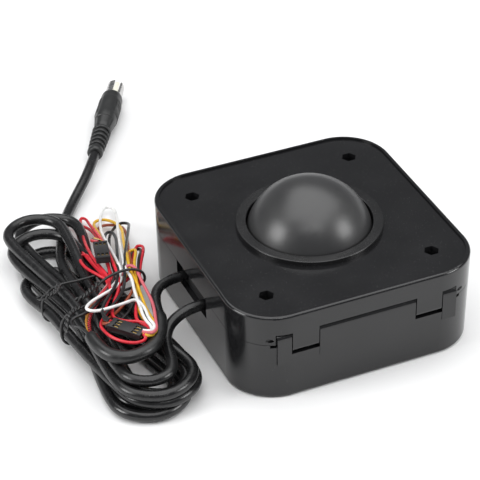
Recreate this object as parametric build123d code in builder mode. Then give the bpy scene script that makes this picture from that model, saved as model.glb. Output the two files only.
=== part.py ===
"""Panel trackball for an arcade cabinet: a ball on three rollers in a hinged two-part housing,
with a PS/2 lead tied in a hank and a wiring harness folded on top of it.

Millimetres. +Z is up, +X runs along the hinge face, +Y runs from the hinge face to the back.
The origin is the middle of the housing's underside.
"""
from build123d import *
from math import cos, pi, radians, sin, sqrt, tan
import os

os.makedirs("parts", exist_ok=True)

# ---- housing ----
body_width = 114.0
body_depth = 118.0
body_height = 43.0
corner_radius = 22.0
draft = 1.0                 # degrees that the walls lean in towards the underside
wall = 2.5
floor = 2.5
top_thickness = 3.0         # from the top of the rim
rim_width = 2.0             # raised rim round the top plate
rim_height = 0.8
seam_height = 28.5          # rim of the lower shell
seam_gap = 0.2
outer_edge_radius = 1.2
bottom_edge_radius = 1.5

# ---- panel mounting: a hexagon pocket for an M3 nut over a bolt hole, at four corners ----
mount_spacing_x = 78.0
mount_spacing_y = 81.0
mount_bore_radius = 1.7
column_radius = 4.5
hex_across_flats = 6.0
hex_depth = 5.0

# ---- hinge on the front face ----
hinge_height = 31.0
knuckle_radius = 2.4
hinge_pin_radius = 0.8
hinge_pin_clearance = 0.05
tongue_half_width = 22.5    # long middle knuckle of the lower shell
tab_width = 12.2            # knuckle tab of the upper shell, one each side of the tongue
outer_knuckle_width = 6.5
knuckle_gap = 0.4
tab_drop = 7.5              # how far a tab hangs below the pin
tab_edge_radius = 2.2
tab_clearance = 0.8

# ---- ball and collar ----
ball_radius = 28.575        # 2 1/4 inch
ball_height = 34.4          # middle of the ball above the underside
ball_core_radius = 10.0
ball_core_gap = 0.3
collar_outer_radius = 32.5
collar_rise = 2.2
collar_lip_radius = 27.9
collar_lip_depth = 2.6
collar_barrel_radius = 30.0
collar_barrel_depth = 3.4
collar_bore_radius = 29.2
collar_fit = 0.1

# ---- rollers: two sensing shafts at right angles and an idler at 45 degrees ----
contact_angle = 38.0        # degrees below the ball's equator
ball_gap = 0.3
roller_radius = 4.0
roller_half_length = 9.0
shaft_radius = 2.0
bearing_radius = 5.5
bearing_width = 4.0
bearing_fit = 0.1
inner_ring_radius = 2.9
inner_bearing_place = -14.0  # along the shaft, from the ball's middle plane
outer_bearing_place = 16.0
wheel_place = 25.0
wheel_radius = 10.0
wheel_thickness = 1.5
wheel_hub_radius = 3.6
wheel_hub_length = 6.0
wheel_slots = 24
slot_inner_radius = 7.2
slot_outer_radius = 9.2
slot_width = 0.9
idler_radius = 6.5
idler_width = 5.0
idler_bore_clearance = 0.05
idler_axle_radius = 2.0
idler_post_thickness = 3.0
idler_side_gap = 0.6

# ---- cradle that carries the rollers ----
cradle_height = 6.0         # underside of the plate
cradle_thickness = 2.4
cradle_size = 83.0
cradle_shift = 5.5          # the plate's middle is this far to +X and +Y of the ball
cradle_corner_radius = 6.0
cradle_window_radius = 17.0
column_clearance = 1.2
saddle_wall = 1.5
saddle_rise = 0.5
cradle_screw_places = ((32.0, 32.0), (-31.0, -31.0), (-32.0, 3.0), (3.0, -32.0))
cradle_boss_radius = 3.5
screw_shank_radius = 1.2
screw_hole_radius = 1.25
screw_head_radius = 2.8
screw_head_height = 1.8
screw_length = 7.0

# ---- sensors ----
fork_length = 11.0
fork_height = 6.0
fork_width = 9.0
fork_slot_width = 3.5
fork_reach = 3.5            # how far the fork's slot takes in the wheel's rim
sensor_board_width = 13.0
sensor_board_height = 15.0
board_thickness = 1.6
rib_thickness = 1.5
rib_height = 2.6
board_fit = 0.1

# ---- controller board ----
controller_x = -46.0
controller_y = -7.0
controller_width = 14.0
controller_length = 52.0
controller_height = 5.5     # underside of the board
standoff_radius = 2.5
standoff_inset = 3.5
small_shank_radius = 0.85
small_hole_radius = 0.9
small_head_radius = 1.9
small_head_height = 1.3
small_screw_length = 5.0

# ---- cable outlet in the left wall ----
outlet_half_width = 16.5
outlet_bottom = 18.5
cable_spread = 11.5         # each cable's distance from the middle of the outlet
cable_height = 22.8
clamp_depth = 8.5
clamp_half_width = 20.0
clamp_bottom = 16.0
clamp_top = 28.2
shelf_thickness = 2.5
clamp_screw_place = 17.0
clamp_screw_length = 13.5

# ---- leads ----
ps2_diameter = 5.0
harness_diameter = 4.6
sleeve_diameter = 6.0
tail_diameter = 3.0

front_y = -body_depth / 2
left_x = -body_width / 2
hinge_y = front_y + knuckle_radius + 0.2
plate_underside = body_height - top_thickness
plate_top = body_height - rim_height
skirt_bottom = seam_height + seam_gap
cradle_top = cradle_height + cradle_thickness
board_top = controller_height + board_thickness

contact_distance = ball_radius + ball_gap + roller_radius
roller_reach = contact_distance * cos(radians(contact_angle))
roller_height = ball_height - contact_distance * sin(radians(contact_angle))
idler_distance = ball_radius + ball_gap + idler_radius
idler_reach = idler_distance * cos(radians(contact_angle))
idler_height = ball_height - idler_distance * sin(radians(contact_angle))

mount_places = [
    (x * mount_spacing_x / 2, y * mount_spacing_y / 2) for x in (-1, 1) for y in (-1, 1)
]
outer_knuckle_start = tongue_half_width + tab_width + 2 * knuckle_gap
outer_knuckle_end = outer_knuckle_start + outer_knuckle_width
tab_start = tongue_half_width + knuckle_gap
tab_end = tab_start + tab_width


def lean(height):
    """How far the outer wall stands in from its size at the top plate."""
    return (body_height - height) * tan(radians(draft))


def housing_outline(height, inset):
    """Rounded outline of the housing at a height, inside its outer wall by the inset."""
    shrink = lean(height) + inset
    RectangleRounded(
        body_width - 2 * shrink, body_depth - 2 * shrink, corner_radius - shrink
    )


# ================= lower shell =================
with BuildPart() as base_shell:
    with BuildSketch(Plane.XY.offset(seam_height)):
        housing_outline(seam_height, 0)
    extrude(amount=-seam_height, taper=draft)
    fillet(base_shell.edges().group_by(Axis.Z)[0], bottom_edge_radius)
    with BuildSketch(Plane.XY.offset(seam_height)):
        housing_outline(seam_height, wall)
    extrude(amount=-(seam_height - floor), taper=draft, mode=Mode.SUBTRACT)
    # columns that the panel bolts pass through
    with BuildSketch(Plane.XY.offset(floor)):
        with Locations(*mount_places):
            Circle(column_radius)
    extrude(amount=seam_height - floor)
    # bosses under the cradle, and standoffs under the controller board
    with BuildSketch(Plane.XY.offset(floor)):
        with Locations(*cradle_screw_places):
            Circle(cradle_boss_radius)
    extrude(amount=cradle_height - floor)
    standoff_places = [
        (controller_x, controller_y + end * (controller_length / 2 - standoff_inset))
        for end in (-1, 1)
    ]
    with BuildSketch(Plane.XY.offset(floor)):
        with Locations(*standoff_places):
            Circle(standoff_radius)
    extrude(amount=controller_height - floor)
    # shelf that the cable clamp is screwed to
    shelf_back = left_x + lean(clamp_bottom) + wall
    with BuildSketch(Plane.XY.offset(clamp_bottom - shelf_thickness)):
        with Locations((shelf_back + clamp_depth / 2 - wall / 4, 0)):
            Rectangle(clamp_depth + wall / 2, 2 * clamp_half_width)
    extrude(amount=shelf_thickness)
    # holes for bolts and screws
    with BuildSketch(Plane.XY):
        with Locations(*mount_places):
            Circle(mount_bore_radius)
    extrude(amount=seam_height, mode=Mode.SUBTRACT)
    with BuildSketch(Plane.XY.offset(cradle_height)):
        with Locations(*cradle_screw_places):
            Circle(screw_hole_radius)
    extrude(amount=-(cradle_height - floor / 2), mode=Mode.SUBTRACT)
    with BuildSketch(Plane.XY.offset(controller_height)):
        with Locations(*standoff_places):
            Circle(small_hole_radius)
    extrude(amount=-(controller_height - floor / 2), mode=Mode.SUBTRACT)
    with BuildSketch(Plane.XY.offset(clamp_bottom)):
        with Locations(*[
            (shelf_back + clamp_depth / 2, side * clamp_screw_place) for side in (-1, 1)
        ]):
            Circle(screw_hole_radius)
    extrude(amount=-shelf_thickness, mode=Mode.SUBTRACT)
    # cable outlet, open at the rim
    with BuildSketch(Plane.XY.offset(outlet_bottom)):
        with Locations((left_x + wall / 2, 0)):
            Rectangle(2 * wall + lean(0), 2 * outlet_half_width)
    extrude(amount=seam_height - outlet_bottom, mode=Mode.SUBTRACT)
    # the front rim is hollowed so that the upper shell's edge can turn past it
    edge_sweep = sqrt((knuckle_radius + 0.2) ** 2 + (hinge_height - skirt_bottom) ** 2) + 0.35
    with BuildSketch(Plane.YZ.offset(-(outer_knuckle_end + wall))):
        with Locations((hinge_y, hinge_height)):
            Circle(edge_sweep)
    extrude(amount=2 * (outer_knuckle_end + wall), mode=Mode.SUBTRACT)
    # slots in the front wall for the tabs of the upper shell
    for side in (-1, 1):
        with BuildSketch(Plane.XY.offset(hinge_height - tab_drop - tab_clearance)):
            with Locations((side * (tab_start + tab_end) / 2, front_y + wall)):
                Rectangle(tab_width + 2 * knuckle_gap, 2 * wall + 1)
        extrude(amount=seam_height, mode=Mode.SUBTRACT)
    # hinge knuckles: the long tongue and one short knuckle at each end
    for start, end in (
        (-outer_knuckle_end, -outer_knuckle_start),
        (-tongue_half_width, tongue_half_width),
        (outer_knuckle_start, outer_knuckle_end),
    ):
        with BuildSketch(Plane.YZ.offset(start)):
            with Locations((hinge_y, hinge_height)):
                Circle(knuckle_radius)
            with Locations((hinge_y - knuckle_radius / 2, (hinge_height + outlet_bottom) / 2)):
                Rectangle(knuckle_radius, hinge_height - outlet_bottom)
        extrude(amount=end - start)
    with BuildSketch(Plane.YZ.offset(-body_width / 2)):
        with Locations((hinge_y, hinge_height)):
            Circle(hinge_pin_radius + hinge_pin_clearance)
    extrude(amount=body_width, mode=Mode.SUBTRACT)
base_shell.part.label = "base_shell"
export_step(base_shell.part, "parts/base_shell.step")

# ================= upper shell =================
with BuildPart() as top_shell:
    with BuildSketch(Plane.XY.offset(body_height)):
        housing_outline(body_height, 0)
    extrude(amount=-(body_height - skirt_bottom), taper=draft)
    fillet(top_shell.edges().group_by(Axis.Z)[-1], outer_edge_radius)
    with BuildSketch(Plane.XY.offset(body_height)):
        housing_outline(body_height, rim_width)
    extrude(amount=-rim_height, mode=Mode.SUBTRACT)
    with BuildSketch(Plane.XY.offset(plate_underside)):
        housing_outline(plate_underside, wall)
    extrude(amount=-(plate_underside - skirt_bottom), taper=draft, mode=Mode.SUBTRACT)
    with BuildSketch(Plane.XY.offset(plate_underside)):
        with Locations(*mount_places):
            Circle(column_radius)
    extrude(amount=-(plate_underside - skirt_bottom))
    with BuildSketch(Plane.XY.offset(plate_top)):
        with Locations(*mount_places):
            RegularPolygon(hex_across_flats / 2, 6, major_radius=False)
    extrude(amount=-hex_depth, mode=Mode.SUBTRACT)
    with BuildSketch(Plane.XY.offset(body_height)):
        with Locations(*mount_places):
            Circle(mount_bore_radius)
        Circle(collar_barrel_radius + collar_fit)
    extrude(amount=-(body_height - skirt_bottom), mode=Mode.SUBTRACT)
    # room for the lower shell's knuckles
    for start, end in (
        (-outer_knuckle_end, -outer_knuckle_start),
        (-tongue_half_width, tongue_half_width),
        (outer_knuckle_start, outer_knuckle_end),
    ):
        with BuildSketch(Plane.XY.offset(hinge_height + knuckle_radius + knuckle_gap)):
            with Locations(((start + end) / 2, front_y + wall)):
                Rectangle(end - start + 2 * knuckle_gap, 2 * wall + 1)
        extrude(amount=-body_height / 2, mode=Mode.SUBTRACT)
    # knuckle tabs
    for side in (-1, 1):
        with BuildSketch(Plane.YZ.offset(side * (tab_start + tab_end) / 2 - tab_width / 2)):
            with Locations((hinge_y, hinge_height)):
                Circle(knuckle_radius)
            with BuildLine():
                tab_front = hinge_y - knuckle_radius
                tab_bottom = hinge_height - tab_drop
                tab_root = hinge_height + 2 * knuckle_radius
                Line((hinge_y, tab_root), (tab_front, tab_root))
                Line((tab_front, tab_root), (tab_front, tab_bottom + tab_edge_radius))
                RadiusArc(
                    (tab_front, tab_bottom + tab_edge_radius),
                    (tab_front + tab_edge_radius, tab_bottom),
                    -tab_edge_radius,
                )
                Line((tab_front + tab_edge_radius, tab_bottom), (hinge_y, tab_bottom))
                Line((hinge_y, tab_bottom), (hinge_y, tab_root))
            make_face()
        extrude(amount=tab_width)
    with BuildSketch(Plane.YZ.offset(-body_width / 2)):
        with Locations((hinge_y, hinge_height)):
            Circle(hinge_pin_radius + hinge_pin_clearance)
    extrude(amount=body_width, mode=Mode.SUBTRACT)
top_shell.part.label = "top_shell"
export_step(top_shell.part, "parts/top_shell.step")

with BuildPart() as hinge_pin:
    with BuildSketch(Plane.YZ.offset(-outer_knuckle_end)):
        with Locations((hinge_y, hinge_height)):
            Circle(hinge_pin_radius)
    extrude(amount=2 * outer_knuckle_end)
hinge_pin.part.label = "hinge_pin"
export_step(hinge_pin.part, "parts/hinge_pin.step")

# ================= ball, its core and the collar =================
collar_top = plate_top + collar_rise
collar_foot = plate_top - collar_barrel_depth
with BuildPart() as ball_collar:
    with BuildSketch(Plane.XZ):
        with BuildLine():
            Polyline(
                (collar_lip_radius, collar_top),
                (collar_outer_radius, collar_top),
                (collar_outer_radius, plate_top),
                (collar_barrel_radius, plate_top),
                (collar_barrel_radius, collar_foot),
                (collar_bore_radius, collar_foot),
                (collar_bore_radius, collar_top - collar_lip_depth - 1),
                (collar_lip_radius, collar_top - collar_lip_depth),
                close=True,
            )
        make_face()
    revolve(axis=Axis.Z)
    fillet(ball_collar.edges().group_by(Axis.Z)[-1], 0.4)
ball_collar.part.label = "ball_collar"
export_step(ball_collar.part, "parts/ball_collar.step")

with BuildPart() as ball:
    with Locations((0, 0, ball_height)):
        Sphere(ball_radius)
        Sphere(ball_core_radius + ball_core_gap, mode=Mode.SUBTRACT)
ball.part.label = "ball"
export_step(ball.part, "parts/ball.step")

with BuildPart() as ball_core:
    with Locations((0, 0, ball_height)):
        Sphere(ball_core_radius)
ball_core.part.label = "ball_core"
export_step(ball_core.part, "parts/ball_core.step")

# ================= roller cradle =================
# Each shaft has a plane of its own: Z along the shaft to the slotted wheel, Y up.
axles = {
    "x": Plane((roller_reach, 0, roller_height), x_dir=(1, 0, 0), z_dir=(0, -1, 0)),
    "y": Plane((0, roller_reach, roller_height), x_dir=(0, -1, 0), z_dir=(-1, 0, 0)),
}
outward = {"x": 1, "y": -1}     # side of the shaft that faces away from the ball, along plane X
idler_plane = Plane(
    (-idler_reach * sqrt(0.5), -idler_reach * sqrt(0.5), idler_height),
    x_dir=(sqrt(0.5), sqrt(0.5), 0),
    z_dir=(sqrt(0.5), -sqrt(0.5), 0),
)
saddle_half_width = bearing_radius + saddle_wall
saddle_drop = roller_height - cradle_height
board_offset = wheel_radius - fork_reach + fork_length
idler_drop = idler_height - cradle_height
idler_post_start = idler_width / 2 + idler_side_gap
idler_post_half_width = idler_axle_radius + 2.5

with BuildPart() as roller_cradle:
    with BuildSketch(Plane.XY.offset(cradle_height)):
        with Locations((cradle_shift, cradle_shift)):
            RectangleRounded(cradle_size, cradle_size, cradle_corner_radius)
        Circle(cradle_window_radius, mode=Mode.SUBTRACT)
        with Locations(*mount_places):
            Circle(column_radius + column_clearance, mode=Mode.SUBTRACT)
        with Locations(*cradle_screw_places):
            Circle(screw_hole_radius + 0.35, mode=Mode.SUBTRACT)
    extrude(amount=cradle_thickness)
    for name, axle in axles.items():
        # windows for the slotted wheel
        with BuildSketch(axle.offset(wheel_place - wheel_thickness)):
            Rectangle(2 * wheel_radius + 2, 2 * roller_height)
        extrude(amount=2 * wheel_thickness, mode=Mode.SUBTRACT)
        # bearing saddles
        for place in (inner_bearing_place, outer_bearing_place):
            with BuildSketch(axle.offset(place - bearing_width / 2)):
                with Locations((0, (saddle_rise - saddle_drop) / 2)):
                    Rectangle(2 * saddle_half_width, saddle_rise + saddle_drop)
            extrude(amount=bearing_width)
            with BuildSketch(axle.offset(place - bearing_width / 2)):
                Circle(bearing_radius + bearing_fit)
            extrude(amount=bearing_width, mode=Mode.SUBTRACT)
        # ribs that the sensor board stands between
        rib_middle = outward[name] * (board_offset + board_thickness / 2)
        with BuildSketch(axle.offset(wheel_place - sensor_board_width / 2)):
            with Locations((rib_middle, (cradle_top + rib_height / 2) - roller_height)):
                Rectangle(board_thickness + 2 * board_fit + 2 * rib_thickness, rib_height)
                Rectangle(board_thickness + 2 * board_fit, rib_height, mode=Mode.SUBTRACT)
        extrude(amount=sensor_board_width)
    # window and posts of the idler
    with BuildSketch(idler_plane.offset(-idler_post_start)):
        Rectangle(2 * idler_radius + 2, 2 * idler_height)
    extrude(amount=2 * idler_post_start, mode=Mode.SUBTRACT)
    for start in (-idler_post_start - idler_post_thickness, idler_post_start):
        with BuildSketch(idler_plane.offset(start)):
            with Locations((0, (idler_axle_radius + 1.5 - idler_drop) / 2)):
                Rectangle(2 * idler_post_half_width, idler_axle_radius + 1.5 + idler_drop)
            Circle(idler_axle_radius, mode=Mode.SUBTRACT)
        extrude(amount=idler_post_thickness)
roller_cradle.part.label = "roller_cradle"
export_step(roller_cradle.part, "parts/roller_cradle.step")

with BuildPart() as cradle_screws:
    with BuildSketch(Plane.XY.offset(cradle_top)):
        with Locations(*cradle_screw_places):
            Circle(screw_head_radius)
    extrude(amount=screw_head_height)
    with BuildSketch(Plane.XY.offset(cradle_top)):
        with Locations(*cradle_screw_places):
            Circle(screw_shank_radius)
    extrude(amount=-(screw_length - floor / 2))
    with BuildSketch(Plane.XY.offset(cradle_top + screw_head_height)):
        with Locations(*cradle_screw_places):
            Rectangle(3.2, 0.7)
            Rectangle(0.7, 3.2)
    extrude(amount=-1.0, mode=Mode.SUBTRACT)
cradle_screws.part.label = "cradle_screws"
export_step(cradle_screws.part, "parts/cradle_screws.step")

# ================= sensing rollers, one for each direction of roll =================
for name, axle in axles.items():
    with BuildPart() as bearing_rings:
        for place in (inner_bearing_place, outer_bearing_place):
            with BuildSketch(axle.offset(place - bearing_width / 2)):
                Circle(bearing_radius)
                Circle(inner_ring_radius + bearing_fit, mode=Mode.SUBTRACT)
            extrude(amount=bearing_width)
    bearing_rings.part.label = name + "_bearing_rings"
    export_step(bearing_rings.part, "parts/" + name + "_bearing_rings.step")

    with BuildPart() as inner_rings:
        for place in (inner_bearing_place, outer_bearing_place):
            with BuildSketch(axle.offset(place - bearing_width / 2)):
                Circle(inner_ring_radius)
                Circle(shaft_radius, mode=Mode.SUBTRACT)
            extrude(amount=bearing_width)
    inner_rings.part.label = name + "_inner_rings"
    export_step(inner_rings.part, "parts/" + name + "_inner_rings.step")

    with BuildPart() as roller_shaft:
        with BuildSketch(axle.offset(inner_bearing_place - bearing_width)):
            Circle(shaft_radius)
        extrude(amount=wheel_place + wheel_hub_length / 2 - inner_bearing_place + bearing_width)
        chamfer(roller_shaft.edges().filter_by(GeomType.CIRCLE), 0.3)
    roller_shaft.part.label = name + "_roller_shaft"
    export_step(roller_shaft.part, "parts/" + name + "_roller_shaft.step")

    with BuildPart() as roller_sleeve:
        with BuildSketch(axle.offset(-roller_half_length)):
            Circle(roller_radius)
            Circle(shaft_radius, mode=Mode.SUBTRACT)
        extrude(amount=2 * roller_half_length)
        chamfer(roller_sleeve.edges().filter_by(GeomType.CIRCLE).sort_by(SortBy.RADIUS)[-2:], 0.4)
    roller_sleeve.part.label = name + "_roller_sleeve"
    export_step(roller_sleeve.part, "parts/" + name + "_roller_sleeve.step")

    with BuildPart() as encoder_wheel:
        with BuildSketch(axle.offset(wheel_place - wheel_thickness / 2)):
            Circle(wheel_radius)
            with PolarLocations((slot_inner_radius + slot_outer_radius) / 2, wheel_slots):
                Rectangle(slot_outer_radius - slot_inner_radius, slot_width, mode=Mode.SUBTRACT)
        extrude(amount=wheel_thickness)
        with BuildSketch(axle.offset(wheel_place - wheel_hub_length / 2)):
            Circle(wheel_hub_radius)
        extrude(amount=wheel_hub_length)
        with BuildSketch(axle.offset(wheel_place - wheel_hub_length / 2)):
            Circle(shaft_radius)
        extrude(amount=wheel_hub_length, mode=Mode.SUBTRACT)
    encoder_wheel.part.label = name + "_encoder_wheel"
    export_step(encoder_wheel.part, "parts/" + name + "_encoder_wheel.step")

    fork_middle = outward[name] * (board_offset - fork_length / 2)
    with BuildPart() as opto_fork:
        with BuildSketch(axle.offset(wheel_place - fork_width / 2)):
            with Locations((fork_middle, 0)):
                Rectangle(fork_length, fork_height)
        extrude(amount=fork_width)
        fork_slot_middle = outward[name] * (wheel_radius - fork_reach + fork_length / 4 - 0.5)
        with BuildSketch(axle.offset(wheel_place - fork_slot_width / 2)):
            with Locations((fork_slot_middle, 0)):
                Rectangle(fork_length / 2 + 1, fork_height)
        extrude(amount=fork_slot_width, mode=Mode.SUBTRACT)
    opto_fork.part.label = name + "_opto_fork"
    export_step(opto_fork.part, "parts/" + name + "_opto_fork.step")

    with BuildPart() as sensor_board:
        board_middle = outward[name] * (board_offset + board_thickness / 2)
        with BuildSketch(axle.offset(wheel_place - sensor_board_width / 2)):
            with Locations((board_middle, cradle_top + sensor_board_height / 2 - roller_height)):
                Rectangle(board_thickness, sensor_board_height)
        extrude(amount=sensor_board_width)
    sensor_board.part.label = name + "_sensor_board"
    export_step(sensor_board.part, "parts/" + name + "_sensor_board.step")

# ================= idler =================
with BuildPart() as idler_axle:
    idler_axle_half = idler_post_start + idler_post_thickness + 0.5
    with BuildSketch(idler_plane.offset(-idler_axle_half)):
        Circle(idler_axle_radius)
    extrude(amount=2 * idler_axle_half)
idler_axle.part.label = "idler_axle"
export_step(idler_axle.part, "parts/idler_axle.step")

with BuildPart() as idler_roller:
    with BuildSketch(idler_plane.offset(-idler_width / 2)):
        Circle(idler_radius)
        Circle(idler_axle_radius + idler_bore_clearance, mode=Mode.SUBTRACT)
    extrude(amount=idler_width)
    chamfer(idler_roller.edges().filter_by(GeomType.CIRCLE).sort_by(SortBy.RADIUS)[-2:], 0.4)
idler_roller.part.label = "idler_roller"
export_step(idler_roller.part, "parts/idler_roller.step")

# ================= controller board =================
with BuildPart() as controller_board:
    with BuildSketch(Plane.XY.offset(controller_height)):
        with Locations((controller_x, controller_y)):
            RectangleRounded(controller_width, controller_length, 1.0)
        with Locations(*standoff_places):
            Circle(small_hole_radius + 0.2, mode=Mode.SUBTRACT)
    extrude(amount=board_thickness)
controller_board.part.label = "controller_board"
export_step(controller_board.part, "parts/controller_board.step")

with BuildPart() as board_screws:
    with BuildSketch(Plane.XY.offset(board_top)):
        with Locations(*standoff_places):
            Circle(small_head_radius)
    extrude(amount=small_head_height)
    with BuildSketch(Plane.XY.offset(board_top)):
        with Locations(*standoff_places):
            Circle(small_shank_radius)
    extrude(amount=-small_screw_length)
board_screws.part.label = "board_screws"
export_step(board_screws.part, "parts/board_screws.step")

with BuildPart() as controller_chip:
    with BuildSketch(Plane.XY.offset(board_top + 0.2)):
        with Locations((controller_x, 0)):
            Rectangle(7.0, 10.0)
    extrude(amount=2.2)
    with BuildSketch(Plane.XY.offset(board_top)):
        with Locations((controller_x, 0)):
            with GridLocations(9.0, 1.27, 2, 7):
                Rectangle(2.2, 0.5)
    extrude(amount=1.0)
controller_chip.part.label = "controller_chip"
export_step(controller_chip.part, "parts/controller_chip.step")

with BuildPart() as crystal:
    with BuildSketch(Plane.XY.offset(board_top)):
        with Locations((controller_x - 3.0, controller_y - 9.0)):
            SlotOverall(10.0, 4.0, rotation=90)
    extrude(amount=3.5)
crystal.part.label = "crystal"
export_step(crystal.part, "parts/crystal.step")

with BuildPart() as capacitor:
    with BuildSketch(Plane.XY.offset(board_top)):
        with Locations((controller_x - 3.0, controller_y + 17.0)):
            Circle(2.5)
    extrude(amount=5.5)
    fillet(capacitor.edges().group_by(Axis.Z)[-1], 0.5)
capacitor.part.label = "capacitor"
export_step(capacitor.part, "parts/capacitor.step")

tail_x = max(controller_x + controller_width / 2 - 2.5,
             left_x + lean(clamp_bottom) + wall + clamp_depth + 1.3 * tail_diameter)
header_top = 13.0
with BuildPart() as board_headers:
    with BuildSketch(Plane.XY.offset(board_top)):
        with Locations((tail_x, -cable_spread), (tail_x, cable_spread)):
            Rectangle(4.6, 12.0)
    extrude(amount=header_top - board_top)
    fillet(board_headers.edges().filter_by(Axis.Z), 0.4)
board_headers.part.label = "board_headers"
export_step(board_headers.part, "parts/board_headers.step")

# ================= cable clamp in the outlet =================
clamp_face_x = left_x + lean(clamp_bottom) + wall
clamp_inner_x = clamp_face_x + clamp_depth
with BuildPart() as cable_clamp:
    with BuildSketch(Plane.XY.offset(clamp_bottom)):
        with Locations(((clamp_face_x + clamp_inner_x) / 2, 0)):
            Rectangle(clamp_depth, 2 * clamp_half_width)
        with Locations(*[
            (clamp_face_x + clamp_depth / 2, side * clamp_screw_place) for side in (-1, 1)
        ]):
            Circle(screw_hole_radius + 0.35, mode=Mode.SUBTRACT)
    extrude(amount=clamp_top - clamp_bottom)
    fillet(cable_clamp.edges().filter_by(Axis.Z).sort_by(Axis.X)[-2:], 1.0)
cable_clamp.part.label = "cable_clamp"
export_step(cable_clamp.part, "parts/cable_clamp.step")

with BuildPart() as clamp_screws:
    clamp_screw_spots = [
        (clamp_face_x + clamp_depth / 2, side * clamp_screw_place) for side in (-1, 1)
    ]
    with BuildSketch(Plane.XY.offset(clamp_top)):
        with Locations(*clamp_screw_spots):
            Circle(screw_head_radius)
    extrude(amount=screw_head_height)
    with BuildSketch(Plane.XY.offset(clamp_top)):
        with Locations(*clamp_screw_spots):
            Circle(screw_shank_radius)
    extrude(amount=-clamp_screw_length)
clamp_screws.part.label = "clamp_screws"
export_step(clamp_screws.part, "parts/clamp_screws.step")

# conductors inside, from the clamp down to the headers
for name, side in (("ps2", -1), ("harness", 1)):
    with BuildPart() as tail:
        with BuildLine() as tail_path:
            FilletPolyline(
                (clamp_inner_x, side * cable_spread, cable_height),
                (tail_x, side * cable_spread, cable_height),
                (tail_x, side * cable_spread, header_top),
                radius=1.2 * tail_diameter,
            )
        with BuildSketch(Plane(tail_path.line @ 0, z_dir=tail_path.line % 0)):
            Circle(tail_diameter / 2)
        sweep()
    tail.part.label = name + "_tail"
    export_step(tail.part, "parts/" + name + "_tail.step")


# ================= leads outside the housing =================
def corner_radii(points):
    """Arc radius at each corner of a route: 0.45 of the shorter run over tan(half the turn)."""
    radii = []
    for before, here, after in zip(points, points[1:], points[2:]):
        arriving = Vector(*here) - Vector(*before)
        leaving = Vector(*after) - Vector(*here)
        half_turn = radians(arriving.get_angle(leaving)) / 2
        radii.append(0.45 * min(arriving.length, leaving.length) / tan(half_turn))
    return radii


def tube_check(name, tube, path, diameter, radii):
    """Prints how near the tube's volume is to its section times its length, and its radii."""
    length = path.wires()[0].length
    share = tube.volume / (pi * (diameter / 2) ** 2 * length)
    print(name, "length", round(length, 1), "volume share", round(share, 3),
          "radii", [round(radius, 1) for radius in radii])


ps2_lead_route = [
    (clamp_face_x, -cable_spread, cable_height),
    (-62.0, -cable_spread, cable_height),
    (-69.5, -14.5, 19.5),
    (-74.5, -21.5, 15.5),
]
with BuildPart() as ps2_lead:
    with BuildLine() as ps2_lead_path:
        FilletPolyline(*ps2_lead_route, radius=corner_radii(ps2_lead_route))
    with BuildSketch(Plane(ps2_lead_path.line @ 0, z_dir=ps2_lead_path.line % 0)):
        Circle(ps2_diameter / 2)
    sweep()
tube_check("ps2_lead", ps2_lead.part, ps2_lead_path, ps2_diameter, corner_radii(ps2_lead_route))
ps2_lead.part.label = "ps2_lead"
export_step(ps2_lead.part, "parts/ps2_lead.step")

hank_front = (-88.0, -33.5)
hank_waist = (-96.0, 20.0)
hank_back = (-99.0, 78.5)
hank_front_radius = 17.5
hank_waist_radius = 13.0
hank_back_radius = 16.8
hank_bottom = 0.6
hank_top = 18.4
with BuildPart() as ps2_hank:
    for end, radius in ((hank_front, hank_front_radius), (hank_back, hank_back_radius)):
        with BuildSketch(Plane.XY.offset(hank_bottom)):
            with Locations(end):
                Circle(radius)
            with Locations(hank_waist):
                Circle(hank_waist_radius)
            make_hull()
        extrude(amount=hank_top - hank_bottom)
    fillet(ps2_hank.edges().group_by(Axis.Z)[-1], 4.0)
ps2_hank.part.label = "ps2_hank"
export_step(ps2_hank.part, "parts/ps2_hank.step")

plug_tip = (-17.0, 199.3)
plug_heading = 59.8         # degrees from +X
plug_height = 6.3
plug_body_radius = 6.1
plug_body_length = 31.0
plug_shell_radius = 4.5
plug_shell_wall = 0.4
plug_shell_length = 11.0
relief_length = 22.0
relief_wide_radius = 4.6
relief_narrow_radius = 3.4
heading = (cos(radians(plug_heading)), sin(radians(plug_heading)))


def along_plug(distance):
    """The point on the plug's axis at a distance behind its tip."""
    return (plug_tip[0] - heading[0] * distance, plug_tip[1] - heading[1] * distance, plug_height)


relief_end = along_plug(plug_shell_length + plug_body_length + relief_length)
ps2_riser_route = [
    (-86.5, 86.5, 5.5),
    (-82.5, 97.0, 3.4),
    (-74.5, 110.0, 2.8),
    along_plug(plug_shell_length + plug_body_length + relief_length + 15.0),
    relief_end,
]
with BuildPart() as ps2_riser:
    with BuildLine() as ps2_riser_path:
        FilletPolyline(*ps2_riser_route, radius=corner_radii(ps2_riser_route))
    with BuildSketch(Plane(ps2_riser_path.line @ 0, z_dir=ps2_riser_path.line % 0)):
        Circle(ps2_diameter / 2)
    sweep()
tube_check("ps2_riser", ps2_riser.part, ps2_riser_path, ps2_diameter, corner_radii(ps2_riser_route))
ps2_riser.part.label = "ps2_riser"
export_step(ps2_riser.part, "parts/ps2_riser.step")


def plug_plane(distance):
    """A plane across the plug, facing its tip, at a distance behind the tip."""
    return Plane(along_plug(distance), x_dir=(heading[1], -heading[0], 0), z_dir=(*heading, 0))


with BuildPart() as plug_relief:
    with BuildSketch(plug_plane(plug_shell_length + plug_body_length + relief_length)):
        Circle(relief_narrow_radius)
    with BuildSketch(plug_plane(plug_shell_length + plug_body_length)):
        Circle(relief_wide_radius)
    loft()
plug_relief.part.label = "plug_relief"
export_step(plug_relief.part, "parts/plug_relief.step")

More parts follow.
